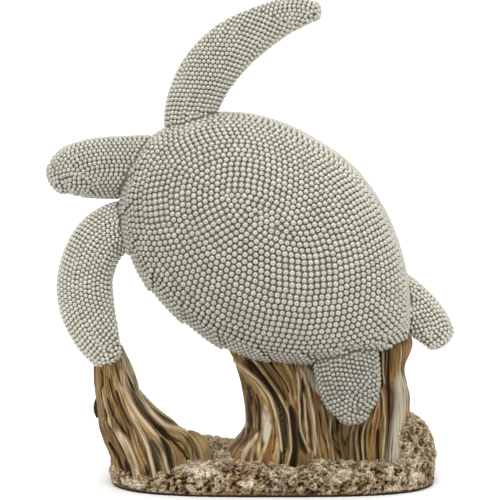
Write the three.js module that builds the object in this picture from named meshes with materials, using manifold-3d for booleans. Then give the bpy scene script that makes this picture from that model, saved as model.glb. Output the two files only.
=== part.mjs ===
// A cast-resin sea turtle with a bead-textured skin, swimming over a driftwood-like stand.
// Millimetres, +Z up, -Y towards the side that shows the back of the shell, +X towards the tail.
// The origin is the centre of the stand's flat underside.
import * as THREE from 'three';
import { mergeVertices } from 'three/addons/utils/BufferGeometryUtils.js';
import Module from 'manifold-3d';

const wasm = await Module();
wasm.setup();

// The gap kept between the two castings.
const seam = 0.3;

// The shell: half length, half width, height of the dome, depth of the belly.
const shell = {
  halfLength: 89,
  halfWidth: 63.4,
  dome: 35,
  belly: 15,
  centre: [1.4, 1, 127.8],
  // Degrees: how far its back looks up and towards the tail side, and the slope of its long axis.
  lookUp: 20,
  lookSide: 4,
  slope: 36.6,
};

// A limb or the head: stations along it, from root to tip, each [x, y, z, half width, half thickness].
// "flat" is the direction across the blade's thickness.
const head = {
  flat: [0, -1, 0.1],
  stations: [
    [-48, 16, 168.5, 17.5, 10.5],
    [-60, 16, 168.5, 17.5, 11],
    [-74, 14.5, 168.4, 17.4, 12],
    [-92, 12, 168.1, 16.6, 13],
    [-103.5, 11, 166.9, 14.9, 12],
    [-110, 10, 164.7, 12.6, 9.5],
    [-113.8, 9.5, 162.8, 9.5, 6.5],
  ],
};
const upperFrontFlipper = {
  flat: [0, -1, 0.2],
  stations: [
    [-42, 15, 182, 13, 8],
    [-42, 19, 199, 14.3, 7.5],
    [-33.6, 22, 218.4, 15.2, 6.5],
    [-18.6, 23, 234.8, 14.4, 5.8],
    [3, 21, 247.6, 11, 5],
    [16, 18, 252, 8.7, 4.2],
    [25.8, 16.5, 252.8, 5.4, 3],
  ],
};
const lowerFrontFlipper = {
  flat: [0, -1, 0],
  stations: [
    [-54, 8, 133, 13, 8],
    [-74, 7, 137.5, 14, 8],
    [-90.2, 4, 130, 14.6, 7.5],
    [-98.3, 0, 112.5, 15, 6.8],
    [-98, -3, 95.5, 15, 6.2],
    [-92.7, -5, 79, 12.6, 5.6],
    [-86, -6, 67.5, 8.8, 4.6],
  ],
};
const rightRearFlipper = {
  flat: [0.2, -1, 0.25],
  stations: [
    [52, 2, 112, 13, 8],
    [72, 3, 99, 13, 7.5],
    [85.8, 2, 86, 12.1, 6.5],
    [93.2, 0, 77.3, 9.3, 4.8],
  ],
};
const leftRearFlipper = {
  flat: [0, -1, 0.35],
  stations: [
    [40, -8, 90, 14, 7],
    [41, -19, 72, 17.5, 6.5],
    [42.5, -26, 58, 17.2, 6],
    [44, -29.5, 46.5, 14.2, 5],
    [45, -31, 40, 8.6, 3.6],
  ],
};

// The stand: an uneven slab of ground, a mound of rock and three pleated supports.
const slab = { middle: 2.6, halfLength: 88.2, halfDepth: 49, height: 15, squareness: 3.1 };
// Broad dips and swells of the ground: [x, y, radius, height].
const ground = [[-62, -40, 21, -4.2], [-45, 34, 18, 2], [-16, 47, 24, -3], [8, -36, 20, 1]];
const mound = { centre: [69, 4, 13], radii: [22.5, 28, 24] };
// Each support's stations run upwards: [z, x, y, half width, half depth, twist in degrees].
const leftSupport = {
  pleats: 11,
  stations: [
    [4, -58.5, -6, 27, 34, 60],
    [14, -61.4, -6, 24.8, 31, 50],
    [22, -64.6, -6, 25.2, 24.5, 38],
    [30, -70.2, -6, 22, 18.5, 26],
    [39, -76.5, -6, 16.2, 14.5, 15],
    [50, -81.6, -6, 12.1, 11, 6],
    [59, -83.8, -5, 10.5, 7.4, 0],
    [66, -85.1, -3.5, 9, 4, 0],
  ],
};
const middleSupport = {
  pleats: 12,
  stations: [
    [4, 12, -3, 40, 35, 34],
    [16, 11, -4, 33.5, 32, 28],
    [27, 12, -4, 26.2, 26, 20],
    [39, 13, -4, 26.4, 21, 11],
    [52, 12, -4, 27, 17, 4],
    [64, 8.4, -6, 26.8, 14.5, 0],
    [74, 6.5, -9, 28, 10.5, 0],
    [86, 8, -11, 20, 5, 0],
  ],
};
const rightSupport = {
  pleats: 9,
  stations: [
    [4, 57, -2, 26, 30, 20],
    [18, 56, -3, 24, 25, 14],
    [32, 56.8, -2, 21.2, 18, 8],
    [46, 61, -1, 16.2, 13, 3],
    [60, 62.7, -2, 11.8, 10, 0],
    [74, 65.5, -4, 13, 9, 0],
    [86, 64.5, -5, 9.5, 6.5, 0],
    [97, 62, -3, 5, 4, 0],
  ],
};

// Depth of the grooves between pleats and of the slower swelling, as shares of the half width.
const pleat = { depth: 0.12, swell: 0.035 };

// How finely each form is divided.
const detail = { shellRound: 48, shellArc: 20, limbRound: 14, limbSteps: 3, slabRound: 60 };

const degrees = Math.PI / 180;

// A closed solid through rings of points with the same count, shut by a fan at each end.
function loft(rings) {
  const count = rings[0].length;
  const centreOf = (ring) => ring.reduce((sum, p) => sum.add(p), new THREE.Vector3()).divideScalar(count);
  const points = rings.flat();
  const index = [];
  for (let r = 0; r + 1 < rings.length; r += 1) {
    for (let k = 0; k < count; k += 1) {
      const a = r * count + k;
      const b = r * count + ((k + 1) % count);
      index.push(a, b, b + count, a, b + count, a + count);
    }
  }
  const first = points.push(centreOf(rings[0])) - 1;
  const last = points.push(centreOf(rings[rings.length - 1])) - 1;
  const top = (rings.length - 1) * count;
  for (let k = 0; k < count; k += 1) {
    const next = (k + 1) % count;
    index.push(first, next, k);
    index.push(last, top + k, top + next);
  }
  const geometry = new THREE.BufferGeometry().setFromPoints(points);
  geometry.setIndex(index);
  return geometry;
}

function solidOf(geometry) {
  const plain = geometry.clone();
  plain.deleteAttribute('normal');
  plain.deleteAttribute('uv');
  const merged = mergeVertices(plain, 1e-4);
  const mesh = new wasm.Mesh({
    numProp: 3,
    vertProperties: new Float32Array(merged.attributes.position.array),
    triVerts: new Uint32Array(merged.index.array),
  });
  return new wasm.Manifold(mesh);
}

// Rings of a solid must run anticlockwise seen from its end, so a loft that comes out reversed is turned.
function facingOut(rings) {
  const solid = solidOf(loft(rings));
  return solid.volume() > 0 ? solid : solidOf(loft(rings.map((ring) => [...ring].reverse())));
}

// Half width of the egg-shaped rim, as a share of the widest, at a place from -1 (neck) to 1 (tail).
function rimShare(along) {
  const [bend, fall] = along > 0 ? [1.85, 0.78] : [2.5, 0.56];
  return (1 - Math.abs(along) ** bend) ** fall;
}

function shellFrame() {
  const up = shell.lookUp * degrees;
  const side = shell.lookSide * degrees;
  const out = new THREE.Vector3(Math.sin(side) * Math.cos(up), -Math.cos(side) * Math.cos(up), Math.sin(up));
  const slope = shell.slope * degrees;
  const tail = new THREE.Vector3(Math.cos(slope), 0, -Math.sin(slope));
  tail.addScaledVector(out, -tail.dot(out)).normalize();
  const across = new THREE.Vector3().crossVectors(out, tail);
  return new THREE.Matrix4().makeBasis(tail, across, out).setPosition(...shell.centre);
}

function shellSolid(grow) {
  const frame = shellFrame();
  const rings = [];
  for (let r = 1; r < detail.shellArc; r += 1) {
    const arc = (r / detail.shellArc) * Math.PI;
    const share = Math.sin(arc);
    const depth = Math.cos(arc) > 0 ? shell.dome + grow : shell.belly + grow;
    const height = depth * Math.sign(Math.cos(arc)) * Math.abs(Math.cos(arc)) ** 1.15;
    const ring = [];
    for (let k = 0; k < detail.shellRound; k += 1) {
      const turn = (k / detail.shellRound) * 2 * Math.PI;
      const along = Math.cos(turn);
      // The crown is an ellipse, which turns into the egg shape towards the rim.
      const side = THREE.MathUtils.lerp(Math.abs(Math.sin(turn)), rimShare(along), share ** 3);
      const x = (shell.halfLength + grow) * along * share;
      const y = (shell.halfWidth + grow) * Math.sign(Math.sin(turn)) * side * share;
      ring.push(new THREE.Vector3(x, y, height).applyMatrix4(frame));
    }
    rings.push(ring);
  }
  return facingOut(rings);
}

// A smooth run through stations: place, size and twist at a share of the whole length.
function stationAt(stations, share) {
  const span = share * (stations.length - 1);
  const i = Math.min(Math.floor(span), stations.length - 2);
  const f = span - i;
  const at = (n) => stations[Math.max(0, Math.min(stations.length - 1, n))];
  const [p0, p1, p2, p3] = [at(i - 1), at(i), at(i + 1), at(i + 2)];
  return p1.map((v, n) => {
    const a = 2 * v;
    const b = p2[n] - p0[n];
    const c = 2 * p0[n] - 5 * v + 4 * p2[n] - p3[n];
    const d = -p0[n] + 3 * v - 3 * p2[n] + p3[n];
    return 0.5 * (a + b * f + c * f * f + d * f * f * f);
  });
}

// A limb: rounded blade sections square to its centre line, ending in a rounded tip.
function limbSolid(limb, grow) {
  const steps = (limb.stations.length - 1) * detail.limbSteps;
  const thin = new THREE.Vector3(...limb.flat).normalize();
  const rings = [];
  const placeOf = (share) => new THREE.Vector3(...stationAt(limb.stations, share).slice(0, 3));
  const addRing = (share, push, scale) => {
    const [x, y, z, halfWidth, halfThick] = stationAt(limb.stations, share);
    const ahead = placeOf(Math.min(1, share + 0.02));
    const along = ahead.sub(placeOf(Math.max(0, share - 0.02))).normalize();
    const wide = new THREE.Vector3().crossVectors(along, thin).normalize();
    const across = new THREE.Vector3().crossVectors(wide, along).normalize();
    const ring = [];
    for (let k = 0; k < detail.limbRound; k += 1) {
      const turn = (k / detail.limbRound) * 2 * Math.PI;
      const point = new THREE.Vector3(x, y, z);
      point.addScaledVector(along, push);
      point.addScaledVector(wide, Math.cos(turn) * (halfWidth + grow) * scale);
      point.addScaledVector(across, Math.sin(turn) * (halfThick + grow) * scale);
      ring.push(point);
    }
    rings.push(ring);
  };
  for (let s = 0; s <= steps; s += 1) addRing(s / steps, 0, 1);
  const tip = stationAt(limb.stations, 1);
  for (const bend of [35, 62, 80]) {
    const reach = (tip[3] + grow) * 0.6 * Math.sin(bend * degrees);
    addRing(1, reach, Math.cos(bend * degrees));
  }
  return facingOut(rings);
}

function turtleSolid(grow) {
  const limbs = [head, upperFrontFlipper, lowerFrontFlipper, rightRearFlipper, leftRearFlipper];
  return limbs.reduce((whole, limb) => whole.add(limbSolid(limb, grow)), shellSolid(grow));
}

// Unevenness of the ground, in millimetres, from a few crossed waves.
function unevenness(x, y) {
  return Math.sin(x * 0.21 + y * 0.13) + Math.sin(x * 0.09 - y * 0.24 + 2) + 0.7 * Math.sin(x * 0.47 + 1.1);
}

// The ground falls away in front of the left support and swells behind it.
function fallAndSwell(x, y) {
  return ground.reduce((lift, [cx, cy, radius, height]) => {
    const away = ((x - cx) ** 2 + (y - cy) ** 2) / radius ** 2;
    return lift + height * Math.exp(-away);
  }, 0);
}

function slabSolid() {
  // Each ring: height and how far it stands in from the outline.
  const h = slab.height;
  const levels = [[0, 0.6], [3, 0], [h * 0.6, 0.6], [h * 0.95, 5], [h, 16], [h, 34]];
  const rings = levels.map(([z, inset], level) => {
    const ring = [];
    for (let k = 0; k < detail.slabRound; k += 1) {
      const turn = (k / detail.slabRound) * 2 * Math.PI;
      const power = 2 / slab.squareness;
      const cx = Math.sign(Math.cos(turn)) * Math.abs(Math.cos(turn)) ** power;
      const cy = Math.sign(Math.sin(turn)) * Math.abs(Math.sin(turn)) ** power;
      const x = (slab.halfLength - inset) * cx;
      const y = (slab.halfDepth - inset) * cy;
      const out = level === 0 ? 0 : 0.6 * unevenness(x, y);
      const rough = 0.7 * unevenness(x * 1.3, y * 1.7);
      const lift = level < 2 ? 0 : rough + fallAndSwell(x, y) * Math.min(1, z / h);
      ring.push(new THREE.Vector3(slab.middle + x + out * cx, y + out * cy, z + lift));
    }
    return ring;
  });
  return facingOut(rings);
}

function moundSolid() {
  const ball = mergeVertices(new THREE.IcosahedronGeometry(1, 4).deleteAttribute('normal').deleteAttribute('uv'));
  const place = ball.attributes.position;
  for (let i = 0; i < place.count; i += 1) {
    const p = new THREE.Vector3().fromBufferAttribute(place, i);
    const rough = 1 + 0.02 * unevenness(p.x * 40, p.y * 40 + p.z * 30);
    const [x, y, z] = mound.centre.map((c, n) => c + mound.radii[n] * p.getComponent(n) * rough);
    place.setXYZ(i, x, y, Math.max(z, 1));
  }
  return solidOf(ball);
}

// A support: stacked sections with sharp-crested pleats that sweep round towards the ground.
// Four points make a pleat, and they turn with it, so that crests and grooves are unbroken edges.
function supportSolid(support) {
  const steps = (support.stations.length - 1) * 2;
  const count = support.pleats * 4;
  const rings = [];
  for (let s = 0; s <= steps; s += 1) {
    const [z, x, y, halfWidth, halfDepth, twist] = stationAt(support.stations, s / steps);
    const ring = [];
    for (let k = 0; k < count; k += 1) {
      const place = (k / count) * 2 * Math.PI;
      const turn = place + twist * degrees;
      const groove = pleat.depth * Math.abs(Math.sin(place * support.pleats * 0.5));
      const slow = pleat.swell * (Math.sin(3 * place + z * 0.06) + Math.sin(5 * place - z * 0.09));
      const size = 1 - groove + slow;
      ring.push(new THREE.Vector3(x + halfWidth * size * Math.cos(turn), y + halfDepth * size * Math.sin(turn), z));
    }
    rings.push(ring);
  }
  return facingOut(rings);
}

function standSolid() {
  const supports = [leftSupport, middleSupport, rightSupport].map(supportSolid);
  const whole = supports.reduce((sum, support) => sum.add(support), slabSolid().add(moundSolid()));
  return whole.subtract(turtleSolid(seam));
}

function meshOf(name, solid, colour, roughness, metalness) {
  const { vertProperties, triVerts } = solid.getMesh();
  const geometry = new THREE.BufferGeometry();
  geometry.setAttribute('position', new THREE.BufferAttribute(new Float32Array(vertProperties), 3));
  geometry.setIndex([...triVerts]);
  geometry.computeVertexNormals();
  const mesh = new THREE.Mesh(geometry, new THREE.MeshStandardMaterial({ color: colour, roughness, metalness }));
  mesh.name = name;
  return mesh;
}

const group = new THREE.Group();
group.add(meshOf('turtle', turtleSolid(0), 0xb4b0a2, 0.35, 0.0));
group.add(meshOf('base', standSolid(), 0x8a6a44, 0.6, 0.0));

export default group;
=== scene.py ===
import math

import bpy
import bmesh
import numpy as np
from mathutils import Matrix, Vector, noise
from mathutils.bvhtree import BVHTree
from mathutils.kdtree import KDTree


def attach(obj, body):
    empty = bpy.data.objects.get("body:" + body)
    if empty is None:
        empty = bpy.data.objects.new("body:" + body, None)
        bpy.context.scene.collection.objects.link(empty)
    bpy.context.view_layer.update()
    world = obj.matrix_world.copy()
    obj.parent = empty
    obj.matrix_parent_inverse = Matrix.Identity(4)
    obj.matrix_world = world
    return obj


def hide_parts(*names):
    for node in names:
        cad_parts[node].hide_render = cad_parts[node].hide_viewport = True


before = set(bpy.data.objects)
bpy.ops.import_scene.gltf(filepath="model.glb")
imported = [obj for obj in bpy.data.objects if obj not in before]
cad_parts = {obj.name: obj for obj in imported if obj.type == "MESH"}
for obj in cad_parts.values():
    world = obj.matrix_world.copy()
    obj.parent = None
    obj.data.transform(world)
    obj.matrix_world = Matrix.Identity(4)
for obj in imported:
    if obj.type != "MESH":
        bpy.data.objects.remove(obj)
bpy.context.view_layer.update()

scene = bpy.context.scene


# small helpers for arrays of points
def unit(vectors):
    lengths = np.linalg.norm(vectors, axis=-1, keepdims=True)
    return vectors / np.maximum(lengths, 1e-12)


def smoothStep(low, high, x):
    t = np.clip((x - low) / (high - low), 0, 1)
    return t * t * (3 - 2 * t)


def noiseAt(points, scale, shift=0.0):
    # soft noise from -1 to 1 at each point
    scaled = np.asarray(points) * scale + shift
    return np.array([noise.noise(Vector(p)) for p in scaled])


def gridFaces(rows, columns, firstPole, lastPole):
    # quads round a stack of rings, with a fan of triangles to the pole at each end
    faces = []
    for r in range(rows - 1):
        for c in range(columns):
            a, b = r * columns + c, r * columns + (c + 1) % columns
            faces.append((a, b, b + columns, a + columns))
    last = (rows - 1) * columns
    for c in range(columns):
        d = (c + 1) % columns
        faces.append((firstPole, d, c))
        faces.append((lastPole, last + c, last + d))
    return faces


def closedRings(rings):
    # rings: array of rows x columns x 3, shut at both ends
    rows, columns, _ = rings.shape
    verts = np.vstack([rings.reshape(-1, 3), rings[0].mean(0)[None], rings[-1].mean(0)[None]])
    return verts, gridFaces(rows, columns, rows * columns, rows * columns + 1)


def meshFrom(name, verts, faces):
    mesh = bpy.data.meshes.new(name)
    mesh.from_pydata([tuple(v) for v in verts], [], faces)
    mesh.update()
    tool = bmesh.new()
    tool.from_mesh(mesh)
    bmesh.ops.recalc_face_normals(tool, faces=tool.faces)
    tool.to_mesh(mesh)
    tool.free()
    return mesh


def addObject(name, mesh):
    obj = bpy.data.objects.new(name, mesh)
    scene.collection.objects.link(obj)
    return obj


def applied(obj):
    # the object's evaluated mesh, with its modifiers used up
    graph = bpy.context.evaluated_depsgraph_get()
    mesh = bpy.data.meshes.new_from_object(obj.evaluated_get(graph), preserve_all_data_layers=True,
                                           depsgraph=graph)
    obj.modifiers.clear()
    old = obj.data
    obj.data = mesh
    bpy.data.meshes.remove(old)
    return obj


def smoothShaded(mesh):
    mesh.polygons.foreach_set("use_smooth", [True] * len(mesh.polygons))
    mesh.update()


def vertsOf(mesh):
    flat = np.empty(len(mesh.vertices) * 3)
    mesh.vertices.foreach_get("co", flat)
    return flat.reshape(-1, 3)


def normalsOf(mesh):
    flat = np.empty(len(mesh.vertices) * 3)
    mesh.vertex_normals.foreach_get("vector", flat)
    return flat.reshape(-1, 3)


def storeValues(mesh, name, values):
    layer = mesh.attributes.new(name, "FLOAT", "POINT")
    layer.data.foreach_set("value", np.asarray(values, dtype=np.float32))


def storeVectors(mesh, name, vectors):
    layer = mesh.attributes.new(name, "FLOAT_VECTOR", "POINT")
    layer.data.foreach_set("vector", np.asarray(vectors, dtype=np.float32).ravel())


# the turtle's forms
mm = 0.001

# sizes in millimetres, turns in degrees
shellForm = {
    "halfLength": 89, "halfWidth": 63.4, "dome": 35, "belly": 15, "centre": (1.4, 1, 127.8),
    "lookUp": 20, "lookSide": 4, "slope": 36.6,
    "scutes": 22, "scuteStep": 1.3, "scuteSlant": 1.1, "scuteFrom": 0.86,
    "upperStep": 0.04,
}
shellCentre = np.array(shellForm["centre"]) * mm

# each limb's stations run from root to tip: x, y, z, half width, half thickness
limbForms = {
    "head": {
        "flat": (0, -1, 0.1),
        "stations": [
            (-48, 16, 168.5, 17.5, 10.5), (-60, 16, 168.5, 17.5, 11), (-74, 14.5, 168.4, 17.4, 12),
            (-92, 12, 168.1, 16.6, 13), (-103.5, 11, 166.9, 14.9, 12), (-110, 10, 164.7, 12.6, 9.5),
            (-113.8, 9.5, 162.8, 9.5, 6.5),
        ],
    },
    "upperFrontFlipper": {
        "flat": (0, -1, 0.2),
        "stations": [
            (-42, 15, 182, 13, 8), (-42, 19, 199, 14.3, 7.5), (-33.6, 22, 218.4, 15.2, 6.5),
            (-18.6, 23, 234.8, 14.4, 5.8), (3, 21, 247.6, 11, 5), (16, 18, 252, 8.7, 4.2),
            (25.8, 16.5, 252.8, 5.4, 3),
        ],
    },
    "lowerFrontFlipper": {
        "flat": (0, -1, 0),
        "stations": [
            (-54, 8, 133, 13, 8), (-74, 7, 137.5, 14, 8), (-90.2, 4, 130, 14.6, 7.5),
            (-98.3, 0, 112.5, 15, 6.8), (-98, -3, 95.5, 15, 6.2), (-92.7, -5, 79, 12.6, 5.6),
            (-86.8, -6, 67.3, 8.8, 4.6),
        ],
    },
    "rightRearFlipper": {
        "flat": (0.2, -1, 0.25),
        "stations": [
            (52, 2, 112, 13, 8), (72, 3, 98.4, 13.2, 7.5), (85.8, 2, 86, 12.1, 6.5),
            (93.2, 0, 77.3, 9.3, 4.8),
        ],
    },
    "leftRearFlipper": {
        "flat": (0, -1, 0.35),
        "stations": [
            (40, -8, 90, 14, 7), (41, -19, 72, 17.5, 6.5), (42.5, -26, 58, 17.2, 6),
            (44, -29.5, 46.5, 14.2, 5), (45, -31, 40, 8.6, 3.6),
        ],
    },
}


def stationAt(stations, share):
    # a smooth run through the stations
    stations = np.asarray(stations, dtype=float)
    span = share * (len(stations) - 1)
    i = min(int(span), len(stations) - 2)
    f = span - i
    p0, p1, p2, p3 = (stations[min(max(n, 0), len(stations) - 1)] for n in (i - 1, i, i + 1, i + 2))
    return 0.5 * (2 * p1 + (p2 - p0) * f + (2 * p0 - 5 * p1 + 4 * p2 - p3) * f ** 2
                  + (3 * p1 - p0 - 3 * p2 + p3) * f ** 3)


def shellAxes():
    up, side = math.radians(shellForm["lookUp"]), math.radians(shellForm["lookSide"])
    out = np.array([math.sin(side) * math.cos(up), -math.cos(side) * math.cos(up), math.sin(up)])
    slope = math.radians(shellForm["slope"])
    tail = np.array([math.cos(slope), 0, -math.sin(slope)])
    tail = unit(tail - out * tail.dot(out))
    return tail, np.cross(out, tail), out


def shellSurface(grow, around=620, arcs=150, stepShare=1.0):
    # grow: how far the surface stands outside the plain form, in metres
    form = shellForm
    tail, across, out = shellAxes()
    turn = np.linspace(0, 2 * math.pi, around, endpoint=False)[None, :]
    arc = np.linspace(0, math.pi, arcs + 1)[1:-1][:, None]
    along = np.cos(turn)
    share = np.sin(arc)
    bend = np.where(along > 0, 1.85, 2.5)
    fall = np.where(along > 0, 0.78, 0.56)
    egg = np.maximum(0, 1 - np.abs(along) ** bend) ** fall
    side = np.abs(np.sin(turn)) + (egg - np.abs(np.sin(turn))) * share ** 3
    x = (form["halfLength"] * mm + grow) * along * share
    y = (form["halfWidth"] * mm + grow) * np.sign(np.sin(turn)) * side * share
    depth = np.where(np.cos(arc) > 0, form["dome"], form["belly"]) * mm + grow
    z = depth * np.sign(np.cos(arc)) * np.abs(np.cos(arc)) ** 1.15 + 0 * x
    rings = shellCentre + x[..., None] * tail + y[..., None] * across + z[..., None] * out
    # each marginal scute rises a little towards its edge, then drops to the next
    aroundDiff = np.roll(rings, -1, 1) - np.roll(rings, 1, 1)
    arcDiff = np.gradient(rings, axis=0)
    normal = unit(np.cross(arcDiff, aroundDiff))
    normal *= np.sign((normal * (rings - shellCentre)).sum(-1, keepdims=True))
    phase = turn / (2 * math.pi) * form["scutes"] + form["scuteSlant"] * (1 - share) * 4
    saw = phase - np.floor(phase)
    rise = np.minimum(saw / 0.93, (1 - saw) / 0.07)
    band = smoothStep(form["scuteFrom"], 0.97, share)
    # the steps are tallest along the lower side
    band = band * (form["upperStep"] + (1 - form["upperStep"]) * smoothStep(0.3, -0.4, np.sin(turn)))
    rings = rings + normal * (form["scuteStep"] * mm * (rise * stepShare - 0.6) * band)[..., None]
    return closedRings(rings)


def limbSurface(form, grow, around=72, steps=90):
    thin = unit(np.array(form["flat"], dtype=float))
    stations = np.array(form["stations"]) * mm
    turn = np.linspace(0, 2 * math.pi, around, endpoint=False)
    rings = []

    def ring(share, push, scale):
        x, y, z, halfWidth, halfThick = stationAt(stations, share)
        ahead = stationAt(stations, min(1, share + 0.02))[:3]
        behind = stationAt(stations, max(0, share - 0.02))[:3]
        along = unit(ahead - behind)
        wide = unit(np.cross(along, thin))
        over = unit(np.cross(wide, along))
        place = np.array([x, y, z]) + along * push
        rings.append(place + np.outer(np.cos(turn), wide) * (halfWidth + grow) * scale
                     + np.outer(np.sin(turn), over) * (halfThick + grow) * scale)

    for s in range(steps + 1):
        ring(s / steps, 0, 1)
    tipWidth = stations[-1][3] + grow
    for bend in np.radians(np.linspace(8, 86, 14)):
        ring(1, tipWidth * 0.6 * math.sin(bend), math.cos(bend))
    return closedRings(np.array(rings))


# laying rows of beads
def respaced(line, step, closed):
    points = np.vstack([line, line[:1]]) if closed else line
    gaps = np.linalg.norm(np.diff(points, axis=0), axis=1)
    length = np.concatenate([[0], np.cumsum(gaps)])
    if length[-1] < step:
        return line[:1]
    count = max(3 if closed else 2, int(round(length[-1] / step)))
    at = np.linspace(0, length[-1], count + 1)[:-1] if closed else np.linspace(0, length[-1], count)
    return np.stack([np.interp(at, length, points[:, k]) for k in range(3)], axis=1)


def onSurface(surface, points):
    found = [surface.find_nearest(Vector(p)) for p in points]
    return np.array([f[0][:] for f in found]), np.array([f[1][:] for f in found])


def insideOf(surface, points, depth):
    # true where a point lies deeper than that inside a closed surface
    result = []
    for p in points:
        near, normal, _, away = surface.find_nearest(Vector(p))
        result.append((near - Vector(p)).dot(normal) > max(depth, 0.7 * away))
    return np.array(result)


class BeadLayer:
    # keeps the beads laid so far, and refuses one that would crowd another
    def __init__(self):
        self.places, self.aims, self.sizes = [], [], []
        self.tree = None

    def crowded(self, point, reach):
        if self.tree is None:
            return False
        return self.tree.find(Vector(point))[2] < reach

    def layLine(self, points, normals, reach, size):
        laid = 0
        last = None
        for p, n in zip(points, normals):
            if self.crowded(p, reach) or (last is not None and np.linalg.norm(p - last) < reach):
                continue
            self.places.append(p)
            self.aims.append(n)
            self.sizes.append(size)
            last = p
            laid += 1
        if laid:
            self.tree = treeOf(self.places)
        return laid


def treeOf(points):
    tree = KDTree(len(points))
    for i, p in enumerate(points):
        tree.insert(Vector(p), i)
    tree.balance()
    return tree


def nextLine(surface, line, normals, closed, sign, step):
    # the line one step further over the surface, walked in small moves; folded parts drop out
    first = treeOf(line)
    moves = 4
    for k in range(1, moves + 1):
        ahead = np.roll(line, -2, 0) - np.roll(line, 2, 0) if closed else np.gradient(line, axis=0)
        sideways = unit(np.cross(normals, ahead)) * sign
        line, normals = onSurface(surface, line + sideways * step / moves)
        apart = np.array([first.find(Vector(p))[2] for p in line])
        keep = apart > step * k / moves * 0.84
        if keep.sum() < 5:
            return None, None
        line, normals = line[keep], normals[keep]
    line = respaced(line, 0.0009, closed)
    if len(line) < 5:
        return None, None
    if closed:
        line = (np.roll(line, 1, 0) + line * 2 + np.roll(line, -1, 0)) / 4
    else:
        line[1:-1] = (line[:-2] + line[1:-1] * 2 + line[2:]) / 4
    return onSurface(surface, line)


def layRows(layer, surface, start, closed, sign, rows):
    # rows: a list of (step from the row before, bead gap, bead size); the first row lies on the start line
    line, normals = onSurface(surface, respaced(start, 0.0009, closed))
    for number, (step, gap, size) in enumerate(rows):
        if number:
            line, normals = nextLine(surface, line, normals, closed, sign, step)
            if line is None:
                break
        beadLine = respaced(line, gap, closed)
        if len(beadLine) < 2:
            break
        places, aims = onSurface(surface, beadLine)
        if layer.layLine(places, aims, gap * 0.8, size) == 0 and number:
            break


def evened(surface, places, sizes, fixed, fixedSizes, rounds=8):
    # nudges beads apart along the surface where they crowd each other or the beads already fixed
    count = len(places)
    allPlaces = np.vstack([places, fixed])
    allSizes = np.concatenate([sizes, fixedSizes])
    tree = treeOf(allPlaces)
    near = np.zeros((count, 8), int)
    for i in range(count):
        found = [j for _, j, _ in tree.find_n(Vector(places[i]), 9) if j != i]
        near[i] = found[:8]
    room = (sizes[:, None] + allSizes[near]) * 0.985
    for _ in range(rounds):
        away = allPlaces[:count, None] - allPlaces[near]
        distance = np.linalg.norm(away, axis=2)
        short = np.maximum(0, room - distance) / np.maximum(distance, 1e-6)
        push = (away * short[..., None]).sum(1) * 0.33
        allPlaces[:count], aims = onSurface(surface, allPlaces[:count] + push)
    return allPlaces[:count], aims


surfaces = {}
formVerts = {}


def addSurface(name, verts, faces):
    mesh = meshFrom(name, verts, faces)
    tool = bmesh.new()
    tool.from_mesh(mesh)
    surfaces[name] = BVHTree.FromBMesh(tool)
    tool.free()
    formVerts[name] = np.asarray(verts)
    bpy.data.meshes.remove(mesh)


# gaps and sizes in metres: from bead to bead along a row, from row to row, and the bead's radius
beadSettings = {
    "shellGap": 0.00335, "shellStep": 0.0031, "shellSize": 0.00178,
    "marginRows": 5, "marginGap": 0.0028, "marginStep": 0.00255, "marginSize": 0.0015,
    "limbGap": 0.00252, "limbStep": 0.0023, "limbSize": 0.0014,
    "height": 0.0009,   # how far the feet of the beads lie below the plain form
    "sides": 8,
}

addSurface("shell", *shellSurface(0))
for limb, form in limbForms.items():
    addSurface(limb, *limbSurface(form, 0))
print("forms ready")


def rimLine():
    # the widest ring of the shell
    verts = formVerts["shell"][:-2].reshape(-1, 620, 3)
    return verts[verts.shape[0] // 2]


def edgeLine(limb, atTurn):
    # a line from root to tip along one edge of a limb
    verts = formVerts[limb][:-2].reshape(-1, 72, 3)
    return verts[:, int(round(atTurn / 360 * 72)) % 72]


s = beadSettings
beads = {}

layer = BeadLayer()
margin = [(s["marginStep"], s["marginGap"], s["marginSize"])] * s["marginRows"]
shellRows = [(s["shellStep"], s["shellGap"], s["shellSize"])] * 40
layRows(layer, surfaces["shell"], rimLine(), True, 1, margin + shellRows)
layRows(layer, surfaces["shell"], rimLine(), True, -1, margin[:3] + shellRows)
beads["shell"] = layer

limbStart = {"head": 0, "upperFrontFlipper": 180, "lowerFrontFlipper": 0, "rightRearFlipper": 180,
             "leftRearFlipper": 0}
limbRows = [(s["limbStep"], s["limbGap"], s["limbSize"])] * 36
for limb, turn in limbStart.items():
    layer = BeadLayer()
    start = edgeLine(limb, turn)
    layRows(layer, surfaces[limb], start, False, 1, limbRows)
    layRows(layer, surfaces[limb], start, False, -1, limbRows)
    beads[limb] = layer


def openSpots(name, taken, reach, seamOnly=False):
    # places on a form that no bead lies near, widest gaps first, and how near the nearest bead is
    spots = formVerts[name][:-2][::2]
    tree = treeOf(taken)
    room = np.array([tree.find(Vector(p))[2] for p in spots])
    spots, room = spots[room > reach], room[room > reach]
    for other in surfaces:
        if other != name and len(spots):
            free = ~insideOf(surfaces[other], spots, 0.0007)
            spots, room = spots[free], room[free]
    if seamOnly and len(spots):
        beside = np.zeros(len(spots), bool)
        for other in surfaces:
            if other != name:
                nearest, _ = onSurface(surfaces[other], spots)
                beside |= np.linalg.norm(nearest - spots, axis=1) < 0.0045
        beside |= room > reach * 1.3
        spots, room = spots[beside], room[beside]
    added, rooms = np.zeros((0, 3)), []
    for i in np.argsort(-room):
        if len(added) == 0 or np.linalg.norm(added - spots[i], axis=1).min() > reach * 1.2:
            added = np.vstack([added, spots[i]])
            rooms.append(room[i])
    return added, np.array(rooms)


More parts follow.
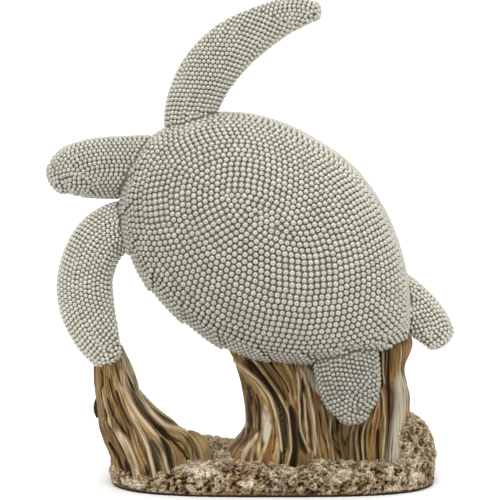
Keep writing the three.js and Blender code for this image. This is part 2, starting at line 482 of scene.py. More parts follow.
def finishedBeads():
    # drops the beads that lie inside another form, fills what is left open, and evens each form out
    done = {}
    standing, standingSizes = np.zeros((0, 3)), np.zeros(0)
    for name, layer in beads.items():
        places, sizes = np.array(layer.places), np.array(layer.sizes)
        size = sizes.max()
        others = [n for n in surfaces if n != name]
        hidden = np.zeros(len(places), bool)
        for other in others:
            hidden |= insideOf(surfaces[other], places, 0.0012)
        places, sizes = places[~hidden], sizes[~hidden]
        if len(standing):
            tree = treeOf(standing)
            clear = np.array([tree.find(Vector(p))[2] > size * 1.22 for p in places])
            places, sizes = places[clear], sizes[clear]
        added, _ = openSpots(name, np.vstack([standing, places]), size * 1.36)
        places = np.vstack([places, added])
        sizes = np.concatenate([sizes, np.full(len(added), size)])
        places, aims = evened(surfaces[name], places, sizes, standing, standingSizes)
        done[name] = (places, aims, sizes)
        standing = np.vstack([standing, places])
        standingSizes = np.concatenate([standingSizes, sizes])
        print(name, "beads", len(places), "of which filling in", len(added))
    for name, (places, aims, sizes) in done.items():
        size = sizes.max()
        added, rooms = openSpots(name, standing, size * 1.02, True)
        if len(added):
            standing = np.vstack([standing, added])
            _, addedAims = onSurface(surfaces[name], added)
            done[name] = (np.vstack([places, added]), np.vstack([aims, addedAims]),
                          np.concatenate([sizes, np.clip(rooms * 0.62, size * 0.55, size)]))
        print(name, "last gaps filled", len(added))
    return done


finished = finishedBeads()


# helpers that build the materials' shader nodes
def newMaterial(name, values):
    material = bpy.data.materials.new(name)
    material.use_nodes = True
    shader = material.node_tree.nodes["Principled BSDF"]
    for label, value in values.items():
        shader.inputs[label].default_value = value
    return material, material.node_tree, shader


def ramp(tree, factor, stops):
    node = tree.nodes.new("ShaderNodeValToRGB")
    while len(node.color_ramp.elements) < len(stops):
        node.color_ramp.elements.new(0.5)
    for element, (at, colour) in zip(node.color_ramp.elements, stops):
        element.position = at
        element.color = (*colour, 1)
    tree.links.new(factor, node.inputs["Fac"])
    return node.outputs["Color"]


def noiseNode(tree, vector, scale, detail, rough=0.5):
    node = tree.nodes.new("ShaderNodeTexNoise")
    node.inputs["Scale"].default_value = scale
    node.inputs["Detail"].default_value = detail
    node.inputs["Roughness"].default_value = rough
    tree.links.new(vector, node.inputs["Vector"])
    return node.outputs["Fac"]


def mixColours(tree, kind, factor, a, b):
    node = tree.nodes.new("ShaderNodeMix")
    node.data_type = "RGBA"
    node.blend_type = kind
    for value, socket in ((factor, node.inputs["Factor"]), (a, node.inputs["A"]), (b, node.inputs["B"])):
        if isinstance(value, (int, float)):
            socket.default_value = value
        elif isinstance(value, tuple):
            socket.default_value = (*value, 1)
        else:
            tree.links.new(value, socket)
    return node.outputs["Result"]


def attributeNode(tree, name, output="Fac"):
    node = tree.nodes.new("ShaderNodeAttribute")
    node.attribute_name = name
    return node.outputs[output]


def objectCoordinates(tree):
    return tree.nodes.new("ShaderNodeTexCoord").outputs["Object"]


def bumpFrom(tree, shader, height, strength, distance):
    node = tree.nodes.new("ShaderNodeBump")
    node.inputs["Strength"].default_value = strength
    node.inputs["Distance"].default_value = distance
    tree.links.new(height, node.inputs["Height"])
    tree.links.new(node.outputs["Normal"], shader.inputs["Normal"])


def paintedBeads():
    material, tree, shader = newMaterial("pearl beads", {
        "Metallic": 0.5, "Roughness": 0.12, "Specular IOR Level": 0.5})
    crown = attributeNode(tree, "crown")
    toneAndPaintedLight = attributeNode(tree, "toneAndPaintedLight")
    # the foot of each bead is painted dark, partly a wash in the crevices and partly painted shade where the
    # beads meet; the crown is a little lighter
    body = ramp(tree, crown, [(0.0, (0.20, 0.185, 0.15)), (0.12, (0.35, 0.335, 0.285)),
                              (0.3, (0.455, 0.44, 0.38)), (1.0, (0.475, 0.46, 0.40))])
    # painted light and shade: each part's beads lighter or darker as the light falls on it, with a little
    # random tone per bead
    shade = ramp(tree, toneAndPaintedLight, [(0.0, (0.7, 0.7, 0.69)), (1.0, (1.3, 1.3, 1.3))])
    patches = ramp(tree, noiseNode(tree, objectCoordinates(tree), 28, 2),
                   [(0.3, (0.92, 0.92, 0.91)), (0.7, (1.0, 0.995, 0.98))])
    colour = mixColours(tree, "MULTIPLY", 1.0, body, shade)
    colour = mixColours(tree, "MULTIPLY", 1.0, colour, patches)
    tree.links.new(colour, shader.inputs["Base Color"])
    return material


def darkSkin():
    material, tree, shader = newMaterial("wash between the beads", {
        "Roughness": 0.7, "Specular IOR Level": 0.1})
    colour = ramp(tree, noiseNode(tree, objectCoordinates(tree), 160, 3),
                  [(0.3, (0.22, 0.205, 0.16)), (0.7, (0.31, 0.29, 0.235))])
    tree.links.new(colour, shader.inputs["Base Color"])
    return material


# Geometry Nodes: one bead on each place
def beadTemplate():
    # a low dome of unit radius, closed below, with "crown" from 0 at the foot to 1 at the top
    sides = beadSettings["sides"]
    bends = np.radians([-12, 20, 44, 68])
    verts = [(math.cos(b) * math.cos(a), math.cos(b) * math.sin(a), math.sin(b))
             for b in bends for a in np.linspace(0, 2 * math.pi, sides, endpoint=False)]
    verts.append((0, 0, 1))
    faces = []
    for r in range(len(bends) - 1):
        for c in range(sides):
            a, b = r * sides + c, r * sides + (c + 1) % sides
            faces.append((a, b, b + sides, a + sides))
    last = (len(bends) - 1) * sides
    faces += [(last + c, last + (c + 1) % sides, len(verts) - 1) for c in range(sides)]
    faces.append(tuple(reversed(range(sides))))
    mesh = meshFrom("bead", verts, faces)
    storeValues(mesh, "crown", np.clip([v[2] for v in verts], 0, 1))
    smoothShaded(mesh)
    return addObject("bead", mesh)


def namedAttribute(tree, name, kind):
    node = tree.nodes.new("GeometryNodeInputNamedAttribute")
    node.data_type = kind
    node.inputs["Name"].default_value = name
    return node.outputs["Attribute"]


def mathNode(tree, operation, a, b):
    # an input is a number or another node's output
    node = tree.nodes.new("ShaderNodeMath")
    node.operation = operation
    for socket, value in zip(node.inputs, (a, b)):
        if isinstance(value, float):
            socket.default_value = value
        else:
            tree.links.new(value, socket)
    return node.outputs[0]


def beadTree():
    tree = bpy.data.node_groups.new("one bead on each place", "GeometryNodeTree")
    for label, kind in (("Geometry", "Geometry"), ("Bead", "Object"), ("Flatness", "Float"),
                        ("Unevenness", "Float"), ("Seed", "Int"), ("Material", "Material")):
        tree.interface.new_socket(label, in_out="INPUT", socket_type="NodeSocket" + kind)
    tree.interface.new_socket("Geometry", in_out="OUTPUT", socket_type="NodeSocketGeometry")
    node, link = tree.nodes.new, tree.links.new
    source, result = node("NodeGroupInput"), node("NodeGroupOutput")
    bead = node("GeometryNodeObjectInfo")
    link(source.outputs["Bead"], bead.inputs["Object"])
    turn = node("FunctionNodeAlignRotationToVector")
    turn.axis = "Z"
    link(namedAttribute(tree, "aim", "FLOAT_VECTOR"), turn.inputs["Vector"])
    vary = node("FunctionNodeRandomValue")
    vary.data_type = "FLOAT"
    lowest, highest = [i for i in vary.inputs if i.type == "VALUE"][:2]
    link(mathNode(tree, "SUBTRACT", 1.0, source.outputs["Unevenness"]), lowest)
    link(mathNode(tree, "ADD", 1.0, source.outputs["Unevenness"]), highest)
    link(source.outputs["Seed"], vary.inputs["Seed"])
    chance = [o for o in vary.outputs if o.type == "VALUE"][0]
    wide = mathNode(tree, "MULTIPLY", namedAttribute(tree, "size", "FLOAT"), chance)
    scale = node("ShaderNodeCombineXYZ")
    link(wide, scale.inputs["X"])
    link(wide, scale.inputs["Y"])
    link(mathNode(tree, "MULTIPLY", wide, source.outputs["Flatness"]), scale.inputs["Z"])
    place = node("GeometryNodeInstanceOnPoints")
    link(source.outputs["Geometry"], place.inputs["Points"])
    link(bead.outputs["Geometry"], place.inputs["Instance"])
    link(turn.outputs["Rotation"], place.inputs["Rotation"])
    link(scale.outputs["Vector"], place.inputs["Scale"])
    real = node("GeometryNodeRealizeInstances")
    link(place.outputs["Instances"], real.inputs["Geometry"])
    paint = node("GeometryNodeSetMaterial")
    link(real.outputs["Geometry"], paint.inputs["Geometry"])
    link(source.outputs["Material"], paint.inputs["Material"])
    link(paint.outputs["Geometry"], result.inputs["Geometry"])
    return tree


def socketIds(tree):
    return {item.name: item.identifier for item in tree.interface.items_tree
            if item.item_type == "SOCKET" and item.in_out == "INPUT"}


template = beadTemplate()
beadNodes = beadTree()
beadMaterial = paintedBeads()


def layBeads(name, parts, paintedLightTones, seed):
    places = np.vstack([p[0] for p in parts])
    aims = unit(np.vstack([p[1] for p in parts]))
    sizes = np.concatenate([p[2] for p in parts])
    mesh = bpy.data.meshes.new(name)
    mesh.from_pydata([tuple(v) for v in places - aims * beadSettings["height"]], [], [])
    storeVectors(mesh, "aim", aims)
    storeValues(mesh, "size", sizes)
    # this attribute holds painted light and shade for each part, with a small random tone on each bead; 0.5
    # leaves the paint as it is, and it runs from 0.7 to 1.3 times as light
    # painted light and shade for the part each bead lies on
    base = np.concatenate(paintedLightTones)
    chance = np.random.default_rng(seed).uniform(-0.08, 0.08, len(places))
    storeValues(mesh, "toneAndPaintedLight", np.clip((base + chance - 0.7) / 0.6, 0, 1))
    obj = addObject(name, mesh)
    modifier = obj.modifiers.new("beads", "NODES")
    modifier.node_group = beadNodes
    ids = socketIds(beadNodes)
    modifier[ids["Bead"]] = template
    modifier[ids["Flatness"]] = 0.85
    modifier[ids["Unevenness"]] = 0.05
    modifier[ids["Seed"]] = seed
    modifier[ids["Material"]] = beadMaterial
    applied(obj)
    smoothShaded(obj.data)
    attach(obj, "root")
    print(name, len(places), "beads", len(obj.data.polygons), "faces")
    return obj


tail, across, out = shellAxes()
shellPlaces, shellAims, shellSizes = finished["shell"]
offCentre = shellPlaces - shellCentre
front = (offCentre @ out) > -0.001
# painted light: the shell's beads are lighter towards the top of the shell and a little towards its tail, and
# darker towards its lower side
shellPaintedLight = 1.0 + 0.13 * np.clip((offCentre @ across) / 0.05, -1, 1)
shellPaintedLight += 0.05 * np.clip((offCentre @ tail) / 0.08, -1, 1)
# painted light and shade per limb: the left rear flipper darker as if in the shell's shade, the front and
# right rear flippers lighter
limbPaintedLight = {"head": 0.97, "upperFrontFlipper": 1.05, "lowerFrontFlipper": 1.12, "rightRearFlipper": 1.16,
            "leftRearFlipper": 0.78}
shellBeads = layBeads("shell-beads", [(shellPlaces[front], shellAims[front], shellSizes[front])],
                      [shellPaintedLight[front]], 3)
bellyBeads = layBeads("belly-beads", [(shellPlaces[~front], shellAims[~front], shellSizes[~front])],
                      [shellPaintedLight[~front]], 5)
limbPieces = {
    "head-and-upper-flipper-beads": ("head", "upperFrontFlipper"),
    "lower-and-rear-flipper-beads": ("lowerFrontFlipper", "rightRearFlipper", "leftRearFlipper"),
}
for number, (name, limbs) in enumerate(limbPieces.items()):
    layBeads(name, [finished[limb] for limb in limbs],
             [np.full(len(finished[limb][0]), limbPaintedLight[limb]) for limb in limbs], 9 + number)
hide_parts("turtle")


# the skin between the beads
def turtleSkin():
    sunk = -beadSettings["height"] - 0.0004
    parts = [shellSurface(sunk, 300, 90, 0.3)]
    parts += [limbSurface(form, sunk, 48, 50) for form in limbForms.values()]
    verts, faces = [], []
    for partVerts, partFaces in parts:
        faces += [tuple(i + len(verts) for i in f) for f in partFaces]
        verts += [tuple(v) for v in partVerts]
    obj = addObject("turtle-skin", meshFrom("turtle-skin", verts, faces))
    remesh = obj.modifiers.new("one skin", "REMESH")
    remesh.mode = "VOXEL"
    remesh.voxel_size = 0.0013
    smooth = obj.modifiers.new("softened", "SMOOTH")
    smooth.iterations = 1
    applied(obj)
    smoothShaded(obj.data)
    obj.data.materials.append(darkSkin())
    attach(obj, "root")
    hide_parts("turtle")
    print("skin", len(obj.data.polygons), "faces")


turtleSkin()


# the driftwood supports
# each support's stations run upwards: z, x, y, half width, half depth, twist in degrees
supportForms = {
    "left": {
        "pleats": 11, "seed": 1.3, "pale": 0.55,
        "stations": [
            (4, -58.5, -6, 27, 34, 60), (14, -61.4, -6, 24.8, 31, 50), (22, -64.6, -6, 25.2, 24.5, 38),
            (30, -70.2, -6, 22, 18.5, 26), (39, -76.5, -6, 16.2, 14.5, 15), (50, -81.6, -6, 12.1, 11, 6),
            (59, -83.8, -5, 10.5, 7.4, 0), (66, -85.1, -3.5, 9, 4, 0),
        ],
    },
    "middle": {
        "pleats": 12, "seed": 5.1, "pale": 0.1,
        "stations": [
            (4, 12, -3, 40, 35, 34), (16, 11, -4, 33.5, 32, 28), (27, 12, -4, 26.2, 26, 20),
            (39, 13, -4, 26.4, 21, 11), (52, 12, -4, 27, 17, 4), (64, 8.4, -6, 26.8, 14.5, 0),
            (74, 6.5, -9, 28, 10.5, 0), (86, 8, -11, 20, 5, 0),
        ],
    },
    "right": {
        "pleats": 9, "seed": 9.7, "pale": 0.25,
        "stations": [
            (4, 57, -2, 26, 30, 20), (18, 56, -3, 24, 25, 14), (32, 56.8, -2, 21.2, 18, 8),
            (46, 61, -1, 16.2, 13, 3), (60, 62.7, -2, 11.8, 10, 0), (74, 65.5, -4, 13, 9, 0),
            (86, 64.5, -5, 9.5, 6.5, 0), (97, 62, -3, 5, 4, 0),
        ],
    },
}


stationScale = np.array([mm, mm, mm, mm, mm, 1])


# strands on the front: paint, half width, how far it stands out, then height and share of the support's
# half width from top to bottom, where -1 is the support's left edge and 1 its right edge
# the dark strands lie in grooves and are partly painted shade on the shadow sides of the folds; the cream
# ones lie on crests and are partly painted highlight
strands = {
    "left": [
        ("tan", 1, 0.7, [(66, -0.8), (36, -0.87), (14, -0.83)]),
        ("dark", 0.7, -0.8, [(62, -0.58), (57, -0.53), (46, -0.7)]),
        ("dark", 0.9, -1.1, [(42, -0.68), (35, -0.69), (27, -0.58), (15, -0.52)]),
        ("dark", 1.2, -0.9, [(24, -0.8), (8, -0.7)]),
        ("ochre", 1.2, 0.4, [(27, -0.85), (14, -0.77)]),
        ("cream", 0.9, 1.3, [(52, -0.61), (34, -0.59), (9, -0.38)]),
        ("cream", 2.5, 0.7, [(31, -0.46), (20, -0.4), (8, -0.38)]),
        ("dark", 0.8, -1.1, [(47, -0.43), (39, -0.46), (31, -0.36), (27, -0.28)]),
        ("ochre", 2.8, 0.5, [(65, -0.28), (34, -0.26)]),
        ("tan", 0.6, 0.8, [(65, -0.62), (58, -0.42), (45, -0.44)]),
        ("tan", 0.7, 0.8, [(65, -0.38), (60, -0.02), (44, 0.2)]),
        ("dark", 0.5, -0.7, [(57, -0.19), (42, -0.15)]),
        ("dark", 0.8, -1, [(51, 0.04), (31, -0.06)]),
        ("cream", 1.3, 1.5, [(55, 0.24), (49, 0.34), (38, 0.19), (20, 0.03), (8, 0)]),
        ("dark", 1, -1.3, [(36, 0.17), (22, 0.11), (9, 0.04)]),
        ("dark", 1.7, -0.9, [(27, 0.22), (9, 0.08)]),
        ("cream", 1.3, 1.5, [(61, 0.47), (40, 0.41), (19, 0.33), (8, 0.31)]),
        ("dark", 2.1, -1.4, [(28, 0.45), (8, 0.39)]),
        ("tan", 0.9, 0.9, [(65, 0.58), (44, 0.68), (31, 0.52), (19, 0.52)]),
        ("dark", 0.5, -0.8, [(51, 0.67), (26, 0.55)]),
        ("dark", 1.4, -1.7, [(70, 0.87), (62, 0.89), (50, 0.83), (39, 0.71), (33, 0.6), (24, 0.6)]),
        ("cream", 0.9, 1.5, [(67, 1.1), (46, 0.9), (32, 0.77), (28, 0.98), (15, 0.93)]),
        ("dark", 1.8, -0.9, [(53, 1.09), (41, 1.09), (29, 1.03)]),
        ("dark", 0.8, -1, [(32, 0.67), (24, 0.66), (14, 0.81)]),
        ("tan", 0.8, 0.8, [(27, 0.8), (17, 0.72)]),
        ("gold", 1.8, 0.3, [(23, 0.92), (15, 0.86)]),
        ("ochre", 1.9, 0.3, [(27, -0.26), (9, -0.2)]),
        ("dark", 2.2, -0.4, [(17, -0.56), (7, -0.56)]),
        ("dark", 2.4, -0.5, [(16, -0.11), (6, -0.1)]),
        ("dark", 0.6, -0.8, [(65, 0.24), (52, 0.39)]),
    ],
    "middle": [
        ("tan", 3, 0.9, [(67, -0.96), (51, -0.65), (40, -0.51)]),
        ("cream", 0.8, 1.7, [(67, -0.98), (57, -0.63), (48, -0.44), (36, -0.31), (21, -0.15)]),
        ("cream", 0.7, 1.9, [(71, -0.59), (56, -0.38), (40, -0.09), (22, 0.03), (12, -0.05)]),
        ("dark", 2.2, -1.9, [(69, -0.76), (57, -0.49), (46, -0.31), (41, -0.23), (18, -0.08)]),
        ("dark", 2.4, -1.9, [(45, -0.05), (24, 0.11), (10, 0.04)]),
        ("dark", 2.4, -1.2, [(33, 0.17), (18, 0.3)]),
        ("tan", 0.6, 0.9, [(70, -0.38), (60, -0.14), (42, 0.04)]),
        ("tan", 0.6, 0.8, [(67, -0.21), (61, -0.1), (50, 0)]),
        ("tan", 0.8, 0.7, [(66, 0.05), (59, 0.11), (45, 0.05)]),
        ("dark", 0.7, -0.9, [(70, -0.31), (57, -0.1), (50, -0.04)]),
        ("dark", 0.7, -0.9, [(68, -0.48), (57, -0.32), (46, -0.11)]),
        ("cream", 0.6, 1.2, [(62, 0.24), (47, 0.13), (33, 0.16), (28, 0.25), (20, 0.37)]),
        ("dark", 1, -1.5, [(59, 0.32), (47, 0.22), (35, 0.2)]),
        ("cream", 1.2, 1.6, [(66, 0.28), (60, 0.33), (47, 0.37), (26, 0.5), (18, 0.43)]),
        ("dark", 0.5, -1.1, [(52, 0.24), (40, 0.31), (30, 0.4), (21, 0.41)]),
        ("cream", 0.9, 0.9, [(50, 0.26), (37, 0.26), (30, 0.32)]),
        ("gold", 0.9, 0.4, [(36, 0.28), (24, 0.36)]),
        ("silver", 2.3, 0.8, [(66, 0.41), (48, 0.57)]),
        ("orange", 2, 0.6, [(53, 0.45), (43, 0.54)]),
        ("ochre", 2.8, 0.6, [(47, 0.45), (33, 0.62), (24, 0.66), (15, 0.59)]),
        ("tan", 0.7, 0.9, [(45, 0.41), (30, 0.57), (15, 0.52)]),
        ("dark", 0.45, -0.8, [(41, 0.54), (24, 0.7), (15, 0.62)]),
        ("gold", 1.2, 0.4, [(44, 0.58), (29, 0.77), (20, 0.71)]),
        ("cream", 0.6, 1.2, [(51, 0.6), (33, 0.82), (24, 0.81), (15, 0.7)]),
        ("dark", 0.7, -1.2, [(35, 0.83), (29, 0.9), (22, 0.83), (14, 0.72)]),
        ("tan", 0.5, 0.7, [(34, 1.01), (30, 1.11), (23, 1.05), (16, 0.93)]),
        ("tan", 0.6, 0.7, [(32, 0.92), (24, 0.95), (16, 0.8)]),
        ("dark", 0.5, -0.8, [(31, 1.05), (23, 1), (16, 0.88)]),
        ("dark", 1.6, -0.8, [(54, -0.84), (42, -0.89), (30, -0.86)]),
        ("tan", 0.5, 0.8, [(57, -0.87), (43, -0.76), (30, -0.71)]),
        ("tan", 0.5, 0.8, [(50, -0.93), (38, -0.82), (30, -0.78)]),
        ("dark", 0.8, -0.9, [(49, -0.7), (28, -0.67)]),
        ("silver", 1.8, 0.8, [(44, -0.56), (24, -0.5)]),
        ("cream", 0.9, 1.1, [(34, -0.44), (28, -0.47), (14, -0.45)]),
        ("cream", 1.4, 0.9, [(29, -0.69), (22, -0.74), (16, -0.74)]),
        ("gold", 2.6, 0.4, [(26, -0.63), (14, -0.54)]),
        ("orange", 1.6, 0.2, [(28, -0.4), (15, -0.31)]),
        ("gold", 2.2, 0.4, [(29, -0.3), (14, -0.19)]),
        ("dark", 0.5, -0.7, [(30, -0.35), (19, -0.29)]),
        ("dark", 1.3, -1, [(22, -0.1), (14, -0.14)]),
        ("tan", 0.9, 0.8, [(33, -0.91), (21, -1.06)]),
        ("dark", 0.6, -0.8, [(32, -0.84), (27, -0.91), (20, -0.95)]),
    ],
    "right": [
        ("cream", 0.7, 1.2, [(72, -0.31), (65, -0.21), (53, 0.07)]),
        ("dark", 0.7, -1.1, [(72, -0.4), (51, -0.03)]),
        ("cream", 0.8, 1.4, [(53, -0.16), (46, 0.05), (35, 0.25), (30, 0.28), (13, 0.16)]),
        ("dark", 0.8, -1, [(73, -0.08), (60, 0.17), (46, 0.26), (33, 0.41), (15, 0.32)]),
        ("ochre", 2.3, 0.5, [(73, 0.21), (66, 0.39), (60, 0.44), (53, 0.38)]),
        ("tan", 0.7, 0.8, [(72, 0.14), (65, 0.32), (58, 0.36)]),
        ("cream", 0.7, 1.3, [(75, 0.41), (65, 0.62), (56, 0.73)]),
        ("orange", 1.2, -0.4, [(75, 0.58), (64, 0.74)]),
        ("silver", 3.7, 1.4, [(61, 0.67), (40, 0.67), (26, 0.58), (13, 0.44)]),
        ("dark", 0.6, -0.8, [(51, 0.34), (42, 0.42), (32, 0.47), (16, 0.4)]),
        ("ochre", 2.4, 0.6, [(44, -0.08), (38, -0.1), (26, -0.07), (15, -0.11)]),
        ("cream", 0.6, 1, [(48, -0.07), (33, -0.08)]),
        ("orange", 1.1, -0.3, [(44, -0.04), (30, 0.09)]),
        ("dark", 1, -1.3, [(31, 0.11), (14, 0.1)]),
        ("tan", 0.7, 0.9, [(36, -0.35), (32, -0.39), (24, -0.41), (13, -0.31)]),
        ("cream", 0.6, 0.9, [(37, -0.21), (30, -0.26), (24, -0.27), (14, -0.22)]),
        ("tan", 0.7, 0.9, [(38, -0.13), (30, -0.15), (14, -0.14)]),
        ("dark", 0.7, -1, [(33, -0.36), (28, -0.36), (14, -0.27)]),
        ("dark", 0.5, -0.8, [(33, -0.24), (14, -0.16)]),
        ("tan", 0.6, 0.8, [(33, -0.52), (28, -0.55), (14, -0.51)]),
        ("dark", 0.7, -0.8, [(29, -0.49), (14, -0.42)]),
        ("gold", 1.4, 0.4, [(22, 0.39), (13, 0.31)]),
    ],
}

# small roots that leave the left support: paint, and x, y, z, half width, half thickness
roots = [
    ("silver", [(-79.8, -4, 73, 0.4, 0.5), (-77.6, -5.5, 67, 1.3, 1.2), (-74.6, -7, 60, 1.6, 1.4),
                (-71.8, -8, 54, 1, 1), (-70.4, -8, 50, 0.4, 0.4)]),
    ("gold", [(-42.4, -12, 26.6, 1.2, 4), (-38.4, -14, 24.2, 2.4, 7), (-34.9, -17, 19.6, 3, 9.5),
              (-33.2, -19, 13.8, 2.8, 10), (-32.8, -20, 8.5, 2.4, 10)]),
    ("dark", [(-90.8, -8, 46.5, 0.3, 0.5), (-92.1, -8, 43, 0.9, 1.4), (-92.5, -8, 38.5, 1, 1.5),
              (-91.8, -8, 34.5, 0.3, 0.6)]),
]

paints = ("tan", "ochre", "gold", "orange", "dark", "cream", "silver")


def ridge(phase):
    # 1 on a sharp crest, falling to 0 in the groove between two
    return 1 - np.abs(np.sin(phase * 0.5)) ** 0.75


def supportSurface(name, front=190, back=84, steps=118):
    form = supportForms[name]
    turn = np.concatenate([np.linspace(0, math.pi, back, endpoint=False),
                           np.linspace(math.pi, 2 * math.pi, front, endpoint=False)])[None, :]
    rows = np.array([stationAt(form["stations"], i / steps) for i in range(steps + 1)]) * stationScale
    z, x, y, halfWidth, halfDepth = (rows[:, i, None] for i in range(5))
    twist = np.radians(rows[:, 5, None])
    radius = np.sqrt((halfWidth * np.sin(turn)) ** 2 + (halfDepth * np.cos(turn)) ** 2)
    onFront = smoothStep(0.02, 0.3, -np.sin(turn)) + 0 * z
    weights = {paint: np.zeros_like(radius) for paint in paints}
    relief = np.zeros_like(radius)
    pull, pullShare = -twist * 0.15 + 0 * turn, np.full_like(radius, 0.15)
    for paint, width, height, line in strands[name]:
        lineZ, lineShare = np.array(line[::-1]).T
        lineZ = lineZ * mm
        held = np.clip(z[:, 0], lineZ[0], lineZ[-1])  # past its ends a strand keeps its place
        at = (np.interp(held, z[:, 0], x[:, 0])
              + np.interp(held, z[:, 0], halfWidth[:, 0]) * np.interp(held, lineZ, lineShare))
        at = np.convolve(np.pad(at, 3, mode="edge"), np.ones(7) / 7, "valid")[:, None]
        angle = 2 * math.pi - np.arccos(np.clip((at - x) / halfWidth, -0.97, 0.97))
        around = np.abs((turn - angle) * radius)
        gap = np.abs(x + halfWidth * np.cos(turn) - at) + 0.01 * smoothStep(0.0, 0.25, np.sin(turn))
        slope = np.gradient(at[:, 0])[:, None] / np.gradient(z[:, 0])[:, None]
        gap = gap / np.sqrt(1 + slope ** 2)
        fade = max(2, width * 2.6) * mm
        alive = smoothStep(lineZ[0] - 0.001, lineZ[0] + fade, z) if lineZ[0] > 0.016 else 1 + 0 * z
        alive = alive * (1 - smoothStep(lineZ[-1] - fade, lineZ[-1] + 0.001, z))
        reach = gap / (width * mm * (0.2 + 0.7 * alive))
        crest = 0.5 * np.exp(-0.8 * reach ** 2) + 0.5 * np.clip(1 - 0.7 * reach, 0, 1)
        relief += height * mm * crest * alive
        paintReach = reach * (1.15 if paint in ("cream", "tan") else 0.9)
        weights[paint] = np.maximum(weights[paint], np.exp(-paintReach ** 4) * np.minimum(1, alive * 2.5))
        if paint != "dark" and lineZ[-1] - lineZ[0] > 0.022:
            near = np.exp(-(around / 0.007) ** 2)
            pull = pull + near * (angle[-1:] - angle)
            pullShare = pullShare + near
    phi = turn + pull / pullShare * onFront - twist * (1 - onFront)
    spot = np.stack([np.cos(phi), np.sin(phi), z * 22 + 0 * turn], axis=2)
    flat = spot.reshape(-1, 3)
    soft = noiseAt(flat * [1.1, 1.1, 0.7], 1.0, form["seed"]).reshape(radius.shape)
    mixed = 0.5 + 0.5 * noiseAt(flat * [1.3, 1.3, 0.9], 1.0, form["seed"] + 40).reshape(radius.shape)
    grain = noiseAt(flat * [9, 9, 0.6], 1.0, form["seed"] + 60).reshape(radius.shape)
    fine = noiseAt(flat * [24, 24, 1.0], 1.0, form["seed"] + 80).reshape(radius.shape)
    big = ridge(form["pleats"] * (phi + 0.3 * soft))
    small = ridge(form["pleats"] * 2.7 * phi + 3 * soft)
    size = np.minimum(1.0, halfWidth / 0.014)
    hair = ridge(form["pleats"] * 5.6 * phi + 5 * soft + 2 * grain)
    broad = noiseAt(flat * [2.6, 2.6, 1.1], 1.0, form["seed"] + 20).reshape(radius.shape)
    present = smoothStep(-0.35, 0.45, broad)
    squeezed = np.abs(np.gradient(phi, axis=1) / np.gradient(turn, axis=1))
    present = present * smoothStep(1.9, 1.25, squeezed) * onFront
    pleats = 0.003 * big * (0.55 + 0.45 * mixed) + 0.001 * small - 0.003
    relief = relief + pleats * (1 - 0.7 * onFront) + 0.0005 * grain + 0.0003 * fine + 0.0009 * hair * present
    weights["tan"] = np.maximum(weights["tan"], form["pale"] * (0.7 + 0.3 * soft))
    # cream on the crests and dark in the grooves of the folds and fine ridges: partly the support's own
    # paint, partly painted highlight and painted shade
    weights["cream"] = np.maximum(weights["cream"], 0.7 * smoothStep(0.55, 0.9, hair) * present)
    weights["dark"] = np.maximum(weights["dark"], 0.7 * smoothStep(0.18, 0.0, hair) * present)
    weights["cream"] = np.maximum(weights["cream"], big ** 1.8 * (1 - 0.9 * onFront) * (0.3 + 0.7 * mixed))
    weights["dark"] = np.maximum(weights["dark"], smoothStep(0.25, 0, big) * (1 - 0.75 * onFront))
    weights["dark"] = np.maximum(weights["dark"], 0.5 * smoothStep(0.25, 0.8, -grain - 0.4 * fine))
    relief = relief * size
    rings = np.stack([x + (halfWidth + relief) * np.cos(turn), y + (halfDepth + relief) * np.sin(turn),
                      z + 0 * turn], axis=2)
    verts, faces = closedRings(rings)
    values = {paint: np.concatenate([w.ravel(), [0, 0]]) for paint, w in weights.items()}
    flow = np.stack([0.02 * np.cos(phi), 0.02 * np.sin(phi), 0.07 * z + 0 * turn], axis=2)
    flow = np.vstack([flow.reshape(-1, 3), flow[0].mean(0)[None], flow[-1].mean(0)[None]])
    return verts, faces, values, flow


def rootSurface(paint, stations):
    form = {"flat": (0, -1, 0.4), "stations": stations}
    verts, faces = limbSurface(form, 0, 40, 40)
    rings = verts[:-2].reshape(-1, 40, 3)
    turn = np.linspace(0, 2 * math.pi, 40, endpoint=False)[None, :]
    along = np.linspace(0, 1, len(rings))[:, None]
    edge = np.exp(-((np.cos(turn) - 0.75) / 0.25) ** 2) + 0 * along
    middle = rings.mean(1, keepdims=True)
    outward = unit(rings - middle)
    grooves = 0.0006 * np.sin(turn * 9 + along * 4)
    rings = rings + outward * (grooves + 0.0006 * edge)[..., None]
    verts = np.vstack([rings.reshape(-1, 3), rings[0].mean(0)[None], rings[-1].mean(0)[None]])
    values = {paint: np.zeros(len(verts)) for paint in paints}
    values[paint] = np.full(len(verts), 0.6)
    if paint != "dark":
        values["cream"] = np.concatenate([0.8 * edge.ravel(), [0, 0]])
    flow = np.stack([0.02 * np.cos(turn) + 0 * along, 0.02 * np.sin(turn) + 0 * along,
                     along * 0.004 + 0 * turn], axis=2)
    flow = np.vstack([flow.reshape(-1, 3), np.zeros((2, 3))])
    return verts, faces, values, flow


